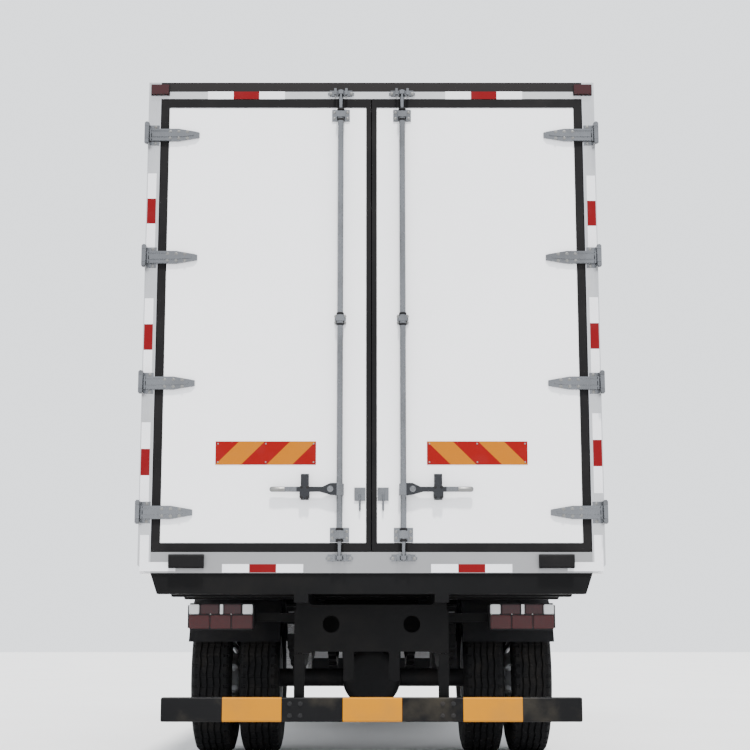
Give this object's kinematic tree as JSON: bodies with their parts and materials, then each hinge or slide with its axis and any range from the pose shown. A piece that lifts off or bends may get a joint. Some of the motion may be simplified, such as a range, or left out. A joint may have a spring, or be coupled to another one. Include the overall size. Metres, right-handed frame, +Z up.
{
  "type": "refrigerated box truck",
  "caption": "Two-axle cab-over truck with an insulated box body, double rear doors, nose-mounted refrigeration unit, tilting cab and steered front wheels.",
  "frame": {"origin": "on the ground, below the middle of the overall box", "axes": "+Y is the driving direction, +X the right side, +Z up"},
  "size_m": [2.88, 9, 3.9899],
  "materials": {
    "chassis_paint": "satin black chassis paint",
    "floor_panel": "grooved insulated floor",
    "box_panel": "white glass-fibre skin over foam",
    "stainless": "brushed stainless",
    "rubber": "black rubber",
    "guard_paint": "yellow and black stripes",
    "lamp": "red and clear lens",
    "black_plastic": "textured black plastic",
    "cast_iron": "painted casting",
    "rim_paint": "silver wheel paint",
    "tyre": "tyre rubber",
    "tank_aluminium": "bare aluminium",
    "cab_paint": "white gloss paint",
    "lamp_glass": "clear lens",
    "glass": "tinted glass",
    "cab_trim": "grained trim and cloth",
    "unit_shell": "white moulded shell"
  },
  "bodies": {
    "chassis": {"frame_rails": "chassis_paint", "frame_crossmembers": "chassis_paint", "floor_beams": "chassis_paint", "box_floor": "floor_panel", "box_side_walls": "box_panel", "box_front_wall": "box_panel", "box_roof": "box_panel", "rear_posts": "stainless", "rear_header_and_sill": "stainless", "rear_frame_fittings": "stainless", "rear_buffers": "rubber", "underrun_guard": "guard_paint", "tail_lamps": "lamp", "rear_mudguards": "black_plastic", "front_axle": "cast_iron", "rear_axle": "cast_iron", "leaf_springs": "chassis_paint", "fuel_tank": "tank_aluminium", "battery_and_air_tanks": "black_plastic", "side_guards": "chassis_paint", "powertrain": "cast_iron", "front_mudguards": "black_plastic", "front_bumper": "cab_paint", "headlamps": "lamp_glass", "cab_mounts": "cast_iron", "refrigeration_unit": "unit_shell", "unit_grille": "black_plastic"},
    "cab": {"cab_front": "cab_paint", "cab_roof": "cab_paint", "cab_back": "cab_paint", "cab_sides": "cab_paint", "cab_floor": "cab_paint", "windscreen": "glass", "cab_interior": "cab_trim", "cab_grille": "black_plastic"},
    "cab_door_left": {"cab_door_left": "cab_paint", "door_glass_left": "glass"},
    "cab_door_right": {"cab_door_right": "cab_paint", "door_glass_right": "glass"},
    "steering_wheel": {"steering_wheel": "cab_trim"},
    "cargo_door_left": {"cargo_door_left": "box_panel", "door_gasket_left": "rubber", "door_hardware_left": "stainless"},
    "cargo_door_right": {"cargo_door_right": "box_panel", "door_gasket_right": "rubber", "door_hardware_right": "stainless"},
    "knuckle_left": {"knuckle_left": "cast_iron"},
    "knuckle_right": {"knuckle_right": "cast_iron"},
    "tie_rod": {"tie_rod": "chassis_paint"},
    "wheel_front_left": {"rim_front_left": "rim_paint", "tyre_front_left": "tyre"},
    "wheel_front_right": {"rim_front_right": "rim_paint", "tyre_front_right": "tyre"},
    "wheels_rear_left": {"rims_rear_left": "rim_paint", "tyres_rear_left": "tyre"},
    "wheels_rear_right": {"rims_rear_right": "rim_paint", "tyres_rear_right": "tyre"}
  },
  "joints": [
    {"name": "cab_tilt", "type": "hinge", "parent": "chassis", "child": "cab", "pos_m": [0, 4.316, 0.7], "axis": [-1, 0, 0], "range_deg": [0, 50]},
    {"name": "cab_door_right_swing", "type": "hinge", "parent": "cab", "child": "cab_door_right", "pos_m": [1.21, 4.183, 1.18], "axis": [0, 0, 1], "range_deg": [0, 70]},
    {"name": "cab_door_left_swing", "type": "hinge", "parent": "cab", "child": "cab_door_left", "pos_m": [-1.21, 4.183, 1.18], "axis": [0, 0, -1], "range_deg": [0, 70]},
    {"name": "cargo_door_right_swing", "type": "hinge", "parent": "chassis", "child": "cargo_door_right", "pos_m": [1.3, -4.486, 1.475], "axis": [0, 0, 1], "range_deg": [0, 270]},
    {"name": "cargo_door_left_swing", "type": "hinge", "parent": "chassis", "child": "cargo_door_left", "pos_m": [-1.3, -4.486, 1.475], "axis": [0, 0, -1], "range_deg": [0, 270]},
    {"name": "steer_left", "type": "hinge", "parent": "chassis", "child": "knuckle_left", "pos_m": [-0.85, 3.07, 0.506], "axis": [0, 0, 1], "range_deg": [-36, 36]},
    {"name": "steer_right", "type": "hinge", "parent": "chassis", "child": "knuckle_right", "pos_m": [0.85, 3.07, 0.506], "axis": [0, 0, 1], "range_deg": [-36, 36]},
    {"name": "tie_rod_turn", "type": "hinge", "parent": "knuckle_left", "child": "tie_rod", "pos_m": [-0.85, 2.91, 0.439], "axis": [0, 0, 1], "range_deg": [-36, 36]},
    {"name": "steering_wheel_turn", "type": "hinge", "parent": "cab", "child": "steering_wheel", "pos_m": [-0.56, 3.8, 1.96], "axis": [0, -0.4695, 0.8829], "range_deg": [-720, 720]},
    {"name": "wheel_front_left_spin", "type": "hinge", "parent": "knuckle_left", "child": "wheel_front_left", "pos_m": [-1.025, 3.07, 0.506], "axis": [1, 0, 0], "continuous": true},
    {"name": "wheel_front_right_spin", "type": "hinge", "parent": "knuckle_right", "child": "wheel_front_right", "pos_m": [1.025, 3.07, 0.506], "axis": [1, 0, 0], "continuous": true},
    {"name": "wheels_rear_left_spin", "type": "hinge", "parent": "chassis", "child": "wheels_rear_left", "pos_m": [-1.09, -1.93, 0.506], "axis": [1, 0, 0], "continuous": true},
    {"name": "wheels_rear_right_spin", "type": "hinge", "parent": "chassis", "child": "wheels_rear_right", "pos_m": [1.09, -1.93, 0.506], "axis": [1, 0, 0], "continuous": true}
  ],
  "couplings": [
    {"joint": "steer_right", "follows": "steer_left", "ratio": 1},
    {"joint": "tie_rod_turn", "follows": "steer_left", "ratio": -1},
    {"joint": "steering_wheel_turn", "follows": "steer_left", "ratio": 20}
  ]
}
